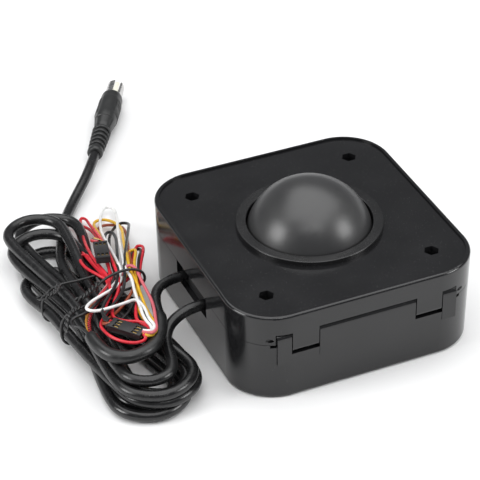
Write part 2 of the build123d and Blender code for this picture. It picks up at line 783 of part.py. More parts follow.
with BuildPart() as plug_body:
    with BuildSketch(plug_plane(plug_shell_length + plug_body_length)):
        Circle(plug_body_radius)
    extrude(amount=plug_body_length)
    chamfer(plug_body.edges().filter_by(GeomType.CIRCLE), 1.4)
plug_body.part.label = "plug_body"
export_step(plug_body.part, "parts/plug_body.step")

with BuildPart() as plug_shell:
    with BuildSketch(plug_plane(plug_shell_length)):
        Circle(plug_shell_radius)
        Circle(plug_shell_radius - plug_shell_wall, mode=Mode.SUBTRACT)
    extrude(amount=plug_shell_length)
plug_shell.part.label = "plug_shell"
export_step(plug_shell.part, "parts/plug_shell.step")

insert_radius = plug_shell_radius - plug_shell_wall - 0.1
insert_length = 4.0
with BuildPart() as plug_insert:
    with BuildSketch(plug_plane(plug_shell_length)):
        Circle(insert_radius)
    extrude(amount=insert_length)
plug_insert.part.label = "plug_insert"
export_step(plug_insert.part, "parts/plug_insert.step")

pin_length = 4.5
with BuildPart() as plug_pins:
    with BuildSketch(plug_plane(plug_shell_length - insert_length)):
        with PolarLocations(2.5, 6):
            Circle(0.3)
    extrude(amount=pin_length)
    with BuildSketch(plug_plane(plug_shell_length - insert_length)):
        with Locations((0, -0.3)):
            Rectangle(2.2, 0.9)
    extrude(amount=pin_length)
plug_pins.part.label = "plug_pins"
export_step(plug_pins.part, "parts/plug_pins.step")

harness_route = [
    (clamp_face_x, cable_spread, cable_height),
    (-65.0, cable_spread, cable_height),
    (-73.4, 3.4, 22.4),
    (-76.6, -16.0, 21.8),
    (-85.0, -29.0, 21.6),
    (-98.0, -32.5, 21.6),
    (-107.6, -24.0, 21.6),
    (-107.6, -11.0, 21.8),
]
harness_radii = corner_radii(harness_route)
lead_corners = 2            # the sleeve starts half way along the run after this corner
sleeve_start = (Vector(*harness_route[lead_corners]) + Vector(*harness_route[lead_corners + 1])) / 2
harness_lead_route = harness_route[:lead_corners + 1] + [tuple(sleeve_start)]
harness_sleeve_route = [tuple(sleeve_start)] + harness_route[lead_corners + 1:]
with BuildPart() as harness_lead:
    with BuildLine() as harness_lead_path:
        FilletPolyline(*harness_lead_route, radius=harness_radii[:lead_corners])
    with BuildSketch(Plane(harness_lead_path.line @ 0, z_dir=harness_lead_path.line % 0)):
        Circle(harness_diameter / 2)
    sweep()
tube_check("harness_lead", harness_lead.part, harness_lead_path, harness_diameter,
           harness_radii[:lead_corners])
harness_lead.part.label = "harness_lead"
export_step(harness_lead.part, "parts/harness_lead.step")

with BuildPart() as harness_sleeve:
    with BuildLine() as harness_sleeve_path:
        FilletPolyline(*harness_sleeve_route, radius=harness_radii[lead_corners:])
    with BuildSketch(Plane(harness_sleeve_path.line @ 0, z_dir=harness_sleeve_path.line % 0)):
        Circle(sleeve_diameter / 2)
    sweep()
tube_check("harness_sleeve", harness_sleeve.part, harness_sleeve_path, sleeve_diameter,
           harness_radii[lead_corners:])
harness_sleeve.part.label = "harness_sleeve"
export_step(harness_sleeve.part, "parts/harness_sleeve.step")

# folded conductors of the harness: the front loops lie on the hank, the back loops beside it
fold_bottom = hank_top + 0.1
fold_top = 24.5
with BuildPart() as wire_fold_front:
    with BuildSketch(Plane.XY.offset(fold_bottom)):
        with Locations((-91.0, -11.0)):
            Circle(10.5)
        with Locations((-79.0, 30.0)):
            Circle(9.5)
        make_hull()
    extrude(amount=fold_top - fold_bottom)
    fillet(wire_fold_front.edges().group_by(Axis.Z)[-1], 3.0)
wire_fold_front.part.label = "wire_fold_front"
export_step(wire_fold_front.part, "parts/wire_fold_front.step")

fold_side_x = -79.0         # clear of the hank
fold_side_width = 20.0
with BuildPart() as wire_fold_back:
    with BuildSketch(Plane.YZ.offset(fold_side_x)):
        with BuildLine():
            Polyline((42.0, 0.6), (94.0, 0.6), (94.0, 4.5), (72.0, 12.5), (42.0, 23.0), close=True)
        make_face()
    extrude(amount=fold_side_width)
    fillet(wire_fold_back.edges().filter_by(Axis.X).group_by(Axis.Z)[-1], 2.0)
wire_fold_back.part.label = "wire_fold_back"
export_step(wire_fold_back.part, "parts/wire_fold_back.step")

# crimp housings on the ends of the conductors: the front one lies flat, the back one slopes
housing_wide = 6.4
housing_high = 3.0
for name, middle, lies_along, housing_long in (
    ("front_connector", (-93.0, -16.5, fold_top + 0.2), (11.0, -13.6, 0.0), 16.0),
    ("back_connector", (-83.2, 40.2, fold_top + 0.4), (5.3, 19.5, -4.6), 19.0),
):
    along = Vector(*lies_along).normalized()
    upright = along.cross(Vector(0, 0, 1)).cross(along)
    with BuildPart() as crimp_housing:
        with BuildSketch(Plane(middle, x_dir=along, z_dir=upright)):
            Rectangle(housing_long, housing_wide)
        extrude(amount=housing_high)
        chamfer(crimp_housing.edges().group_by(Axis.Z)[-1], 0.4)
    crimp_housing.part.label = name
    export_step(crimp_housing.part, "parts/" + name + ".step")

# wire ties that hold the hank: flat loops around its waist
tie_thickness = 0.5
tie_width = 2.0
with BuildPart() as hank_ties:
    for tie_y, tie_half in ((31.0, 15.8), (12.0, 15.4)):
        tie_x = hank_waist[0] + (tie_y - hank_waist[1]) * -0.06
        with BuildSketch(Plane.XZ.offset(-tie_y)):
            with Locations((tie_x, (hank_bottom + hank_top) / 2)):
                Rectangle(2 * tie_half + 2 * tie_thickness, hank_top - hank_bottom + 0.1)
                Rectangle(2 * tie_half, hank_top - hank_bottom + 0.1, mode=Mode.SUBTRACT)
        extrude(amount=tie_width)
hank_ties.part.label = "hank_ties"
export_step(hank_ties.part, "parts/hank_ties.step")
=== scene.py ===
"""Panel trackball for an arcade cabinet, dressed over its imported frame: glossy black housing, dark
grey ball, PS/2 lead tied in a hank, and a wiring harness folded on top of it.

Metres, in the frame's own axes. Sizes of small pieces are given in millimetres where they are used.
"""
from math import cos, pi, radians, sin

import bmesh
import bpy
from mathutils import Matrix, Vector


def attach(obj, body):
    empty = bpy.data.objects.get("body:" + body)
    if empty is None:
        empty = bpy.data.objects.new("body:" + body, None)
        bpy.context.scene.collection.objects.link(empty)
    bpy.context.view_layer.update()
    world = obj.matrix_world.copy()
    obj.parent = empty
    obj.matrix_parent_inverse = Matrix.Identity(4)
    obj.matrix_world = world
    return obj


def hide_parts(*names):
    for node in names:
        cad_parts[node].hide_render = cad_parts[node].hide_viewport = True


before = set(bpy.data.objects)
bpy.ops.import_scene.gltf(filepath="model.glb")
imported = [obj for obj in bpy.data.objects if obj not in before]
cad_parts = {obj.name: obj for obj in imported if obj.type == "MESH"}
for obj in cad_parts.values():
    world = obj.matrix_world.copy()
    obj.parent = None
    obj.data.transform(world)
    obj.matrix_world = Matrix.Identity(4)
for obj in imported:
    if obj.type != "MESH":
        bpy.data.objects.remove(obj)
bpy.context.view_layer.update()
MM = 0.001

# ---- Lower shell ----
# The tray of the housing, injection-moulded in glossy black ABS. Its walls lean in a degree, so
# light runs down them in soft bands, and handling leaves faint smears on the polish.


class Value:
    """Something that varies over a surface. Sums and products of values add Math nodes."""

    def __init__(self, finish, socket):
        self.finish = finish
        self.socket = socket

    def math(self, operation, first, second):
        return self.finish.node("ShaderNodeMath", {"operation": operation}, {0: first, 1: second})

    def __add__(self, other):
        return self.math("ADD", self, other)

    def __mul__(self, other):
        return self.math("MULTIPLY", self, other)

    def __rmul__(self, other):
        return self.math("MULTIPLY", other, self)


class Finish:
    """One procedural finish: a material, its Principled shader, and the nodes that vary it."""

    def __init__(self, name, colour, roughness, **constants):
        self.material = bpy.data.materials.new(name)
        self.material.use_nodes = True
        self.tree = self.material.node_tree
        self.shader = self.tree.nodes["Principled BSDF"]
        self.feed("Base Color", (*colour, 1.0))
        self.feed("Roughness", roughness)
        for socket, value in constants.items():
            self.feed(socket.replace("_", " "), value)

    def feed(self, socket, value):
        """Gives a shader socket a constant, or the value that varies there."""
        self.give(self.shader.inputs[socket], value)

    def give(self, socket, value):
        if isinstance(value, Value):
            self.tree.links.new(value.socket, socket)
        else:
            socket.default_value = value

    def node(self, kind, settings, inputs, output=0):
        """Adds a node: its settings first, then its inputs. Returns one of its outputs."""
        node = self.tree.nodes.new(kind)
        for name, setting in settings.items():
            setattr(node, name, setting)
        for name, value in inputs.items():
            self.give(node.inputs[name], value)
        return Value(self, node.outputs[output])

    def place(self, turn=(0.0, 0.0, 0.0), stretch=(1.0, 1.0, 1.0)):
        """The place on the piece in metres, turned and stretched for grain that has a direction."""
        here = self.node("ShaderNodeTexCoord", {}, {}, "Object")
        return self.node("ShaderNodeMapping", {}, {"Vector": here, "Rotation": turn, "Scale": stretch})

    def noise(self, scale, detail=3.0, where=None):
        """Cloudy noise from 0 to 1, with features about 1 / scale metres across."""
        where = where or self.place()
        return self.node("ShaderNodeTexNoise", {}, {"Vector": where, "Scale": scale, "Detail": detail})

    def between(self, value, low, high, to_low, to_high):
        """The value's stretch from low to high laid onto another range, held at its ends."""
        return self.node("ShaderNodeMapRange", {}, {
            "Value": value, "From Min": low, "From Max": high, "To Min": to_low, "To Max": to_high})

    def mix(self, share, first, second):
        """A colour between two colours, of which the first may itself vary."""
        inputs = {0: share, 6: first if isinstance(first, Value) else (*first, 1.0), 7: (*second, 1.0)}
        return self.node("ShaderNodeMix", {"data_type": "RGBA"}, inputs, 2)

    def relief(self, height, depth):
        """Raises the surface by a height from 0 to 1 times a depth in metres."""
        self.feed("Normal", self.node("ShaderNodeBump", {}, {
            "Height": height, "Distance": depth, "Strength": 1.0}))


def moulded_plastic(name, colour, roughness, grain=0.000004, smear=0.05):
    """Moulded plastic: flow ripples, a trace of mould grain, smears and a few specks of dust."""
    finish = Finish(name, colour, roughness, IOR=1.52)
    smears = finish.noise(46.0, 5.0)
    rub = finish.between(finish.noise(900.0, 2.0), 0.45, 0.75, 0.0, 1.0)
    finish.feed("Roughness", finish.between(smears, 0.35, 0.7, roughness, roughness + smear)
                + 0.03 * rub)
    dust = finish.between(finish.noise(2600.0, 0.0), 0.80, 0.84, 0.0, 0.5)
    worn = tuple(min(1.0, 1.2 * part + 0.0015) for part in colour)
    tint = finish.mix(finish.between(smears, 0.4, 0.8, 0.0, 1.0), colour, worn)
    finish.feed("Base Color", finish.mix(dust, tint, (0.16, 0.16, 0.155)))
    finish.relief(0.7 * finish.noise(140.0, 2.0) + 0.3 * finish.noise(2200.0, 2.0), grain * 6)
    return finish.material


def dress(node, material):
    """Gives a CAD node its finish."""
    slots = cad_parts[node].data.materials
    slots.clear()
    slots.append(material)


housing_gloss = moulded_plastic("housing_gloss", (0.0085, 0.0085, 0.0092), 0.12)
dress("base_shell", housing_gloss)

# ---- Hinge pin ----
# A steel wire pushed through the knuckles on the front face, drawn bright and cut to length.


def drawn_metal(name, colour, roughness, scale, stretch):
    """Metal with fine lines left by drawing, turning or stamping, and a slight tarnish."""
    finish = Finish(name, colour, roughness, Metallic=1.0)
    lines = finish.noise(scale, 5.0, finish.place(stretch=stretch))
    cloud = finish.noise(160.0, 3.0)
    finish.feed("Roughness", finish.between(lines, 0.3, 0.7, roughness - 0.05, roughness + 0.1)
                + 0.08 * cloud)
    dull = tuple(0.72 * part for part in colour)
    finish.feed("Base Color", finish.mix(finish.between(cloud, 0.45, 0.75, 0.0, 1.0), colour, dull))
    finish.relief(lines, 0.000012)
    return finish.material


ground_steel = drawn_metal("ground_steel", (0.58, 0.58, 0.6), 0.24, 900.0, (0.1, 1.0, 1.0))
dress("hinge_pin", ground_steel)

# ---- Roller cradle and its screws ----
# A black acetal plate with saddles for the bearings, matt from its mould, held by four
# zinc-plated screws with crossed slots.
cradle_acetal = moulded_plastic("cradle_acetal", (0.022, 0.022, 0.023), 0.46, 0.00001, 0.1)
dress("roller_cradle", cradle_acetal)
zinc_plate = drawn_metal("zinc_plate", (0.62, 0.61, 0.58), 0.3, 700.0, (1.0, 1.0, 0.2))
for screws in ("cradle_screws", "board_screws", "clamp_screws"):
    dress(screws, zinc_plate)

# ---- Sensing rollers ----
# Ground steel shafts in small ball bearings, each with a pale acetal sleeve that the ball turns
# and a slotted black wheel that chops the sensor's light.
roller_acetal = moulded_plastic("roller_acetal", (0.62, 0.61, 0.57), 0.36, 0.000006, 0.12)
wheel_nylon = moulded_plastic("wheel_nylon", (0.015, 0.015, 0.016), 0.42, 0.000008, 0.08)
for side in ("x", "y"):
    dress(side + "_roller_shaft", ground_steel)
    dress(side + "_bearing_rings", ground_steel)
    dress(side + "_inner_rings", ground_steel)
    dress(side + "_roller_sleeve", roller_acetal)
    dress(side + "_encoder_wheel", wheel_nylon)
dress("idler_axle", ground_steel)
dress("idler_roller", ground_steel)

# ---- Sensors ----
# Forked light gates of black polycarbonate on small upright circuit boards.
gate_plastic = moulded_plastic("gate_plastic", (0.02, 0.02, 0.024), 0.3, 0.000006, 0.1)
for side in ("x", "y"):
    dress(side + "_opto_fork", gate_plastic)

# ---- Circuit boards ----
# Glass epoxy under green solder mask. Copper tracks show through as paler lines.


def solder_mask(name):
    finish = Finish(name, (0.012, 0.11, 0.045), 0.28, IOR=1.55)
    where = finish.place(turn=(0.0, 0.0, radians(45.0)))
    grid = finish.node("ShaderNodeTexBrick", {"offset": 0.35}, {
        "Vector": where, "Scale": 190.0, "Mortar Size": 0.06, "Brick Width": 0.9,
        "Row Height": 0.28, "Color1": (0.0, 0.0, 0.0, 1.0), "Color2": (0.1, 0.1, 0.1, 1.0),
        "Mortar": (1.0, 1.0, 1.0, 1.0)}, "Fac")
    patches = finish.between(finish.noise(210.0, 1.0), 0.47, 0.53, 0.0, 1.0)
    tracks = grid * patches
    finish.feed("Base Color", finish.mix(tracks, (0.012, 0.11, 0.045), (0.05, 0.26, 0.1)))
    finish.feed("Roughness", finish.between(finish.noise(70.0, 3.0), 0.3, 0.7, 0.22, 0.4))
    finish.relief(tracks + 0.2 * finish.noise(1800.0, 2.0), 0.00004)
    return finish.material


board_mask = solder_mask("board_mask")
for board in ("controller_board", "x_sensor_board", "y_sensor_board"):
    dress(board, board_mask)

# ---- Parts on the controller board ----
# An epoxy chip, a drawn crystal can, a sleeved capacitor, and two natural nylon headers.
dress("controller_chip", moulded_plastic("chip_epoxy", (0.018, 0.018, 0.019), 0.55, 0.00001, 0.1))
dress("crystal", drawn_metal("crystal_can", (0.7, 0.7, 0.71), 0.22, 800.0, (1.0, 0.15, 1.0)))
dress("capacitor", moulded_plastic("capacitor_sleeve", (0.012, 0.016, 0.06), 0.25, 0.000004, 0.1))
header_nylon = moulded_plastic("header_nylon", (0.78, 0.76, 0.66), 0.4, 0.00001, 0.08)
dress("board_headers", header_nylon)

# ---- Cable clamp ----
# A black nylon block in the outlet of the left wall. Both cables pass through it, and their
# conductors run on to the headers inside.
dress("cable_clamp", moulded_plastic("clamp_nylon", (0.018, 0.018, 0.019), 0.42, 0.00001, 0.1))

# ---- Upper shell ----
# The lid of the housing, from the same mould family, with a raised rim round its plate and
# hexagon pockets for the panel nuts.
dress("top_shell", housing_gloss)

# ---- Ball collar ----
# A satin black ring pressed into the plate. Its lip keeps the ball in.
dress("ball_collar", moulded_plastic("collar_satin", (0.010, 0.010, 0.0105), 0.2, 0.000006, 0.1))

# ---- Ball ----
# Dark grey phenolic, turned and tumbled to a satin polish, with hair-fine scuffs from rolling.


def phenolic(name):
    colour = (0.027, 0.027, 0.028)
    finish = Finish(name, colour, 0.33, IOR=1.6)
    cloud = finish.noise(60.0, 4.0)
    scuffs = finish.node("ShaderNodeTexVoronoi", {"feature": "DISTANCE_TO_EDGE"}, {
        "Vector": finish.place(turn=(0.4, 0.9, 0.2)), "Scale": 330.0}, "Distance")
    hair = finish.between(scuffs, 0.0, 0.02, 1.0, 0.0)
    finish.feed("Base Color", finish.mix(
        finish.between(cloud, 0.35, 0.7, 0.0, 1.0), colour, (0.035, 0.035, 0.035)))
    finish.feed("Roughness", finish.between(cloud, 0.3, 0.7, 0.3, 0.37) + 0.03 * hair)
    finish.relief(0.6 * finish.noise(1500.0, 3.0) + 0.4 * hair, 0.000008)
    return finish.material


ball_phenolic = phenolic("ball_phenolic")
dress("ball", ball_phenolic)
dress("ball_core", ball_phenolic)

# ---- PS/2 lead ----
# Round black PVC cable, 5 mm thick. It leaves the clamp, runs down into the hank, goes round it
# five and a half times, and comes out at the back to its plug.


def cable_jacket(name, colour, roughness):
    """Extruded PVC: satin, a little uneven, with dust and rub marks along it."""
    finish = Finish(name, colour, roughness, IOR=1.5)
    cloud = finish.noise(90.0, 4.0)
    rub = finish.between(finish.noise(420.0, 3.0), 0.5, 0.78, 0.0, 1.0)
    finish.feed("Roughness", finish.between(cloud, 0.3, 0.7, roughness - 0.05, roughness + 0.08)
                + 0.08 * rub)
    dusty = tuple(min(1.0, 1.5 * part + 0.008) for part in colour)
    finish.feed("Base Color", finish.mix(rub * 0.6, colour, dusty))
    finish.relief(0.8 * finish.noise(240.0, 2.0) + 0.2 * finish.noise(3000.0, 1.0), 0.00003)
    return finish.material


def laid_cord(name, places, diameter, material):
    """A cord on one smooth line: a spline with the route's places, in millimetres, as its points."""
    curve = bpy.data.curves.new(name, "CURVE")
    curve.dimensions = "3D"
    spline = curve.splines.new("NURBS")
    spline.points.add(len(places) - 1)
    for point, place in zip(spline.points, places):
        point.co = (*(MM * part for part in place), 1.0)
    spline.order_u = 3
    spline.use_endpoint_u = True
    spline.resolution_u = 10
    curve.bevel_depth = diameter * MM / 2
    curve.bevel_resolution = 5
    curve.use_fill_caps = True
    curve.materials.append(material)
    cord = bpy.data.objects.new(name, curve)
    bpy.context.scene.collection.objects.link(cord)
    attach(cord, "base")
    return cord


def centre_line(cord):
    """The points of a cord's centre line, read from its spline without the round section."""
    bare = cord.copy()
    bare.data = cord.data.copy()
    bare.data.bevel_depth = 0.0
    bpy.context.scene.collection.objects.link(bare)
    bpy.context.view_layer.update()
    line = bpy.data.meshes.new_from_object(
        bare.evaluated_get(bpy.context.evaluated_depsgraph_get()))
    points = [vertex.co.copy() for vertex in line.vertices]
    bpy.data.objects.remove(bare)
    return points


curve_reach = 0.93    # a smooth line reaches about this share of the radius that its points are on


def fold(x, y, radius, height, turns):
    """Points round one end of the hank, at the given angles."""
    reach = radius / curve_reach
    return [(x + reach * cos(radians(a)), y + reach * sin(radians(a)), height) for a in turns]


def waist(x, height, forwards):
    """Two points where a run passes between the ties."""
    ends = [(-95.4 + x, 13.0, height), (-96.8 + x, 28.0, height)]
    return ends if forwards else ends[::-1]


front_folds = [(-90.2, -31.8, 11.7, 15.9), (-87.9, -33.5, 16.6, 12.2), (-86.3, -33.2, 16.6, 7.5),
               (-85.8, -33.3, 11.8, 8.6), (-91.1, -34.4, 16.4, 3.0), (-91.5, -30.6, 12.2, 3.0)]
left_runs = [(-7.7, 15.9), (-8.6, 11.0), (-15.4, 7.6), (-0.1, 10.3), (-6.7, 3.0), (-2.4, 16.0)]
back_folds = [(-102.0, 77.4, 12.8, 15.9), (-101.4, 69.4, 14.2, 11.6), (-105.4, 49.5, 11.3, 6.2),
              (-93.0, 84.8, 14.4, 8.1), (-99.0, 68.5, 12.1, 3.0)]
right_runs = [(3.5, 14.6), (12.5, 15.9), (14.0, 6.6), (5.3, 10.2), (3.4, 3.0)]

ps2_route = [(-54.0, -11.5, 22.8), (-62.0, -11.5, 22.8), (-71.6, -13.2, 19.8), (-77.4, -19.0, 15.9)]
for turn in range(6):
    around = (8, -38, -90, -142, -188) if turn else (-38, -90, -142, -188)
    ps2_route += fold(*front_folds[turn], around)
    ps2_route += waist(*left_runs[turn], True)
    if turn < 5:
        ps2_route += fold(*back_folds[turn], (188, 142, 90, 38, -8))
        ps2_route += waist(*right_runs[turn], False)
ps2_route += [(-96.5, 60.0, 8.5), (-91.0, 76.0, 7.0), (-86.5, 86.5, 5.5), (-82.5, 97.0, 3.4),
              (-74.5, 110.0, 2.8), (-56.7, 131.0, 6.3), (-49.2, 144.0, 6.3)]

black_jacket = cable_jacket("black_jacket", (0.0085, 0.0085, 0.009), 0.24)
ps2_cord = laid_cord("ps2_cord", ps2_route, 5.0, black_jacket)
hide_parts("ps2_lead", "ps2_hank", "ps2_riser")
dress("ps2_tail", black_jacket)
dress("harness_tail", black_jacket)

# ---- Wiring harness ----
# A second black cable, 4.6 mm thick, that curls forward over the hank and back on itself. A soft
# sleeve covers the rest of it from about a third of the way along.
harness_route = [(-54.0, 11.5, 22.8), (-65.0, 11.5, 22.8), (-73.4, 3.4, 22.4),
                 (-76.6, -16.0, 21.8), (-85.0, -29.0, 21.6), (-98.0, -32.5, 21.6),
                 (-107.6, -24.0, 21.6), (-107.6, -11.0, 21.8)]
harness_cord = laid_cord("harness_cord", harness_route, 4.6, black_jacket)
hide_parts("harness_lead", "harness_sleeve")


class Pattern:
    """A tree of geometry nodes that makes a repeated or swept shape, with named sizes."""

    def __init__(self, name, sizes):
        self.tree = bpy.data.node_groups.new(name, "GeometryNodeTree")
        face = self.tree.interface
        face.new_socket("Geometry", in_out="INPUT", socket_type="NodeSocketGeometry")
        face.new_socket("Geometry", in_out="OUTPUT", socket_type="NodeSocketGeometry")
        self.sockets = {}
        for size, value in sizes.items():
            kind = {int: "NodeSocketInt", float: "NodeSocketFloat"}.get(type(value), "NodeSocketMaterial")
            self.sockets[size] = face.new_socket(size, in_out="INPUT", socket_type=kind)
        self.sizes = sizes
        self.entry = self.tree.nodes.new("NodeGroupInput")

    def size(self, name):
        return self.entry.outputs[name]

    def node(self, kind, settings, inputs, output=0):
        node = self.tree.nodes.new(kind)
        for name, setting in settings.items():
            setattr(node, name, setting)
        for name, value in inputs.items():
            if isinstance(value, bpy.types.NodeSocket):
                self.tree.links.new(value, node.inputs[name])
            else:
                node.inputs[name].default_value = value
        return node.outputs[output]

    def end(self, shape):
        """Realizes the shape, gives it its material and makes it the tree's result."""
        solid = self.node("GeometryNodeRealizeInstances", {}, {0: shape})
        solid = self.node("GeometryNodeSetMaterial", {}, {0: solid, "Material": self.size("Material")})
        self.tree.links.new(solid, self.tree.nodes.new("NodeGroupOutput").inputs[0])

    def made_on(self, name, mesh):
        """Runs the tree on a mesh and returns the result as a plain mesh object."""
        carrier = bpy.data.objects.new(name + "_carrier", mesh)
        bpy.context.scene.collection.objects.link(carrier)
        modifier = carrier.modifiers.new("pattern", "NODES")
        modifier.node_group = self.tree
        for size, value in self.sizes.items():
            modifier[self.sockets[size].identifier] = value
        bpy.context.view_layer.update()
        graph = bpy.context.evaluated_depsgraph_get()
        plain = bpy.data.meshes.new_from_object(carrier.evaluated_get(graph))
        carrier.modifiers.clear()
        bpy.data.objects.remove(carrier)
        piece = bpy.data.objects.new(name, plain)
        bpy.context.scene.collection.objects.link(piece)
        return piece


def line_mesh(name, points):
    mesh = bpy.data.meshes.new(name)
    mesh.from_pydata(points, [(i, i + 1) for i in range(len(points) - 1)], [])
    return mesh


def sleeve_on(name, points, sizes):
    """A soft tube over part of a cable, drawn in a little at both ends."""
    pattern = Pattern(name + "_pattern", sizes)
    line = pattern.node("GeometryNodeMeshToCurve", {}, {0: pattern.entry.outputs["Geometry"]})
    share = pattern.node("GeometryNodeSplineParameter", {}, {}, "Factor")
    nearness = pattern.node("ShaderNodeMath", {"operation": "ABSOLUTE"}, {
        0: pattern.node("ShaderNodeMath", {"operation": "MULTIPLY_ADD"}, {0: share, 1: 2.0, 2: -1.0})})
    radius = pattern.node("ShaderNodeMapRange", {}, {
        "Value": nearness, "From Min": 0.93, "From Max": 1.0,
        "To Min": pattern.size("Radius"), "To Max": pattern.size("End radius")})
    ring = pattern.node("GeometryNodeCurvePrimitiveCircle", {}, {"Resolution": 24, "Radius": 1.0})
    tube = pattern.node("GeometryNodeCurveToMesh", {}, {
        "Curve": line, "Profile Curve": ring, "Scale": radius, "Fill Caps": True})
    tube = pattern.node("GeometryNodeSetShadeSmooth", {}, {0: tube})
    pattern.end(tube)
    return pattern.made_on(name, line_mesh(name + "_line", points))


sleeve_vinyl = cable_jacket("sleeve_vinyl", (0.011, 0.0112, 0.0115), 0.3)
harness_points = centre_line(harness_cord)
bare_share = 0.36
sleeve_points = harness_points[int(bare_share * len(harness_points)):]
harness_sleeve = sleeve_on("harness_sleeve_cover", sleeve_points, {
    "Radius": 0.0030, "End radius": 0.0026, "Material": sleeve_vinyl})
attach(harness_sleeve, "base")

# ---- Solder joints ----
# A row of tinned domes along one edge of the controller board.
solder = drawn_metal("solder", (0.74, 0.74, 0.75), 0.22, 1200.0, (1.0, 1.0, 1.0))
joints = Pattern("solder_row", {
    "Joints": 17, "Pitch": 0.00254, "Radius": 0.00062, "Along X": -0.0521, "First Y": -0.0285,
    "Board top": 0.0071, "Material": solder})
joint_places = joints.node("GeometryNodeMeshLine", {"mode": "OFFSET"}, {
    "Count": joints.size("Joints"),
    "Start Location": joints.node("ShaderNodeCombineXYZ", {}, {
        "X": joints.size("Along X"), "Y": joints.size("First Y"), "Z": joints.size("Board top")}),
    "Offset": joints.node("ShaderNodeCombineXYZ", {}, {"Y": joints.size("Pitch")})})
dome = joints.node("GeometryNodeMeshIcoSphere", {}, {"Radius": joints.size("Radius"), "Subdivisions": 2})
domes = joints.node("GeometryNodeInstanceOnPoints", {}, {
    "Points": joint_places, "Instance": dome, "Scale": (1.0, 1.0, 0.7)})
joints.end(joints.node("GeometryNodeSetShadeSmooth", {}, {0: domes}))
solder_row = joints.made_on("solder_row", bpy.data.meshes.new("solder_row_place"))
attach(solder_row, "base")

# ---- Coloured conductors ----
# Stranded wires, 1.4 mm over their PVC. They leave the sleeve, pass under a tie, loop back over
# the end of the hank, and come forward again to their crimp housings. Out of the sleeve all but one
# start on one of two shared lines, so there the wires lie inside one another.


def insulation(name, colour):
    finish = Finish(name, colour, 0.32, IOR=1.5)
    cloud = finish.noise(300.0, 3.0)
    finish.feed("Roughness", finish.between(cloud, 0.3, 0.7, 0.26, 0.42))
    soiled = tuple(0.72 * part for part in colour)
    finish.feed("Base Color", finish.mix(finish.between(cloud, 0.5, 0.85, 0.0, 1.0), colour, soiled))
    finish.relief(finish.noise(900.0, 2.0), 0.00002)
    return finish.material


